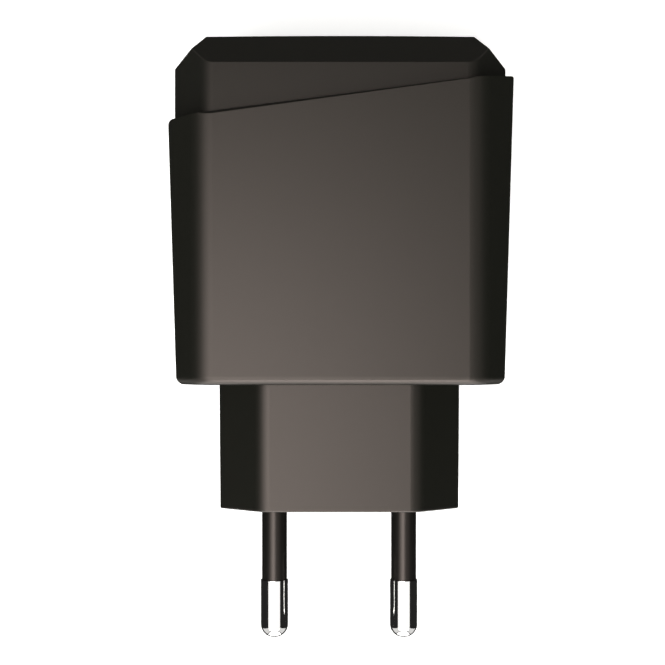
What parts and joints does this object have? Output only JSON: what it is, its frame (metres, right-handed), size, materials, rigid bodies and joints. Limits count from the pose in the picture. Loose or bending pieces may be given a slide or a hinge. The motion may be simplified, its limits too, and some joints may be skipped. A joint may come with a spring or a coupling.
{
  "type": "usb wall charger",
  "caption": "Wall charger with a fixed European plug neck, a bevelled core holding two USB-A sockets and a tapered outer sleeve with a slanting edge.",
  "frame": {"origin": "middle of the plug's engagement face, on the centre plane, halfway between the two pins", "axes": "+Y along the pins, into the wall outlet; -Y towards the USB ports; +Z out of the upper wide face; +X completes the frame, to the right when facing the ports"},
  "size_m": [0.0488, 0.0866, 0.025],
  "materials": {
    "satin_shell": "warm black, satin moulding",
    "core_shell": "deep black, fine matte moulding",
    "pin_insulation": "black insulating plastic",
    "nickel": "polished nickel plate",
    "tin_strip": "tinned strip",
    "socket_steel": "plated steel sheet",
    "socket_plastic": "black moulding",
    "contact_gold": "gold-plated contacts",
    "board": "green lacquered glass-fibre board",
    "ferrite": "dark grey sintered ferrite",
    "bobbin": "black phenolic moulding",
    "copper_wire": "enamelled copper wire",
    "yellow_tape": "yellow polyester tape",
    "capacitor_sleeve": "black shrink sleeve",
    "capacitor_can": "bare aluminium can",
    "blue_disc": "blue coated ceramic disc",
    "resistor_body": "green cement coating",
    "chip_plastic": "black moulding compound",
    "passive": "tan ceramic chips"
  },
  "bodies": {
    "root": {"outer_sleeve": "satin_shell", "plug_neck": "satin_shell", "core_housing": "core_shell", "pin_insulation_left": "pin_insulation", "pin_insulation_right": "pin_insulation", "plug_pin_left": "nickel", "plug_pin_right": "nickel", "pin_strip_left": "tin_strip", "pin_strip_right": "tin_strip", "port_shell_left": "socket_steel", "port_shell_right": "socket_steel", "port_tongue_left": "socket_plastic", "port_tongue_right": "socket_plastic", "port_contacts_left": "contact_gold", "port_contacts_right": "contact_gold", "main_board": "board", "transformer_ferrite": "ferrite", "transformer_bobbin": "bobbin", "transformer_winding": "copper_wire", "transformer_tape": "yellow_tape", "bulk_capacitor_1": "capacitor_sleeve", "bulk_capacitor_2": "capacitor_sleeve", "output_capacitor_1": "capacitor_can", "output_capacitor_2": "capacitor_can", "safety_capacitor": "blue_disc", "fuse_resistor": "resistor_body", "choke_core": "ferrite", "choke_winding": "copper_wire", "bridge_rectifier": "chip_plastic", "optocoupler": "chip_plastic", "primary_controller": "chip_plastic", "output_rectifier": "chip_plastic", "charge_controller": "chip_plastic", "chip_resistors": "passive", "chip_capacitors": "passive"}
  },
  "joints": []
}
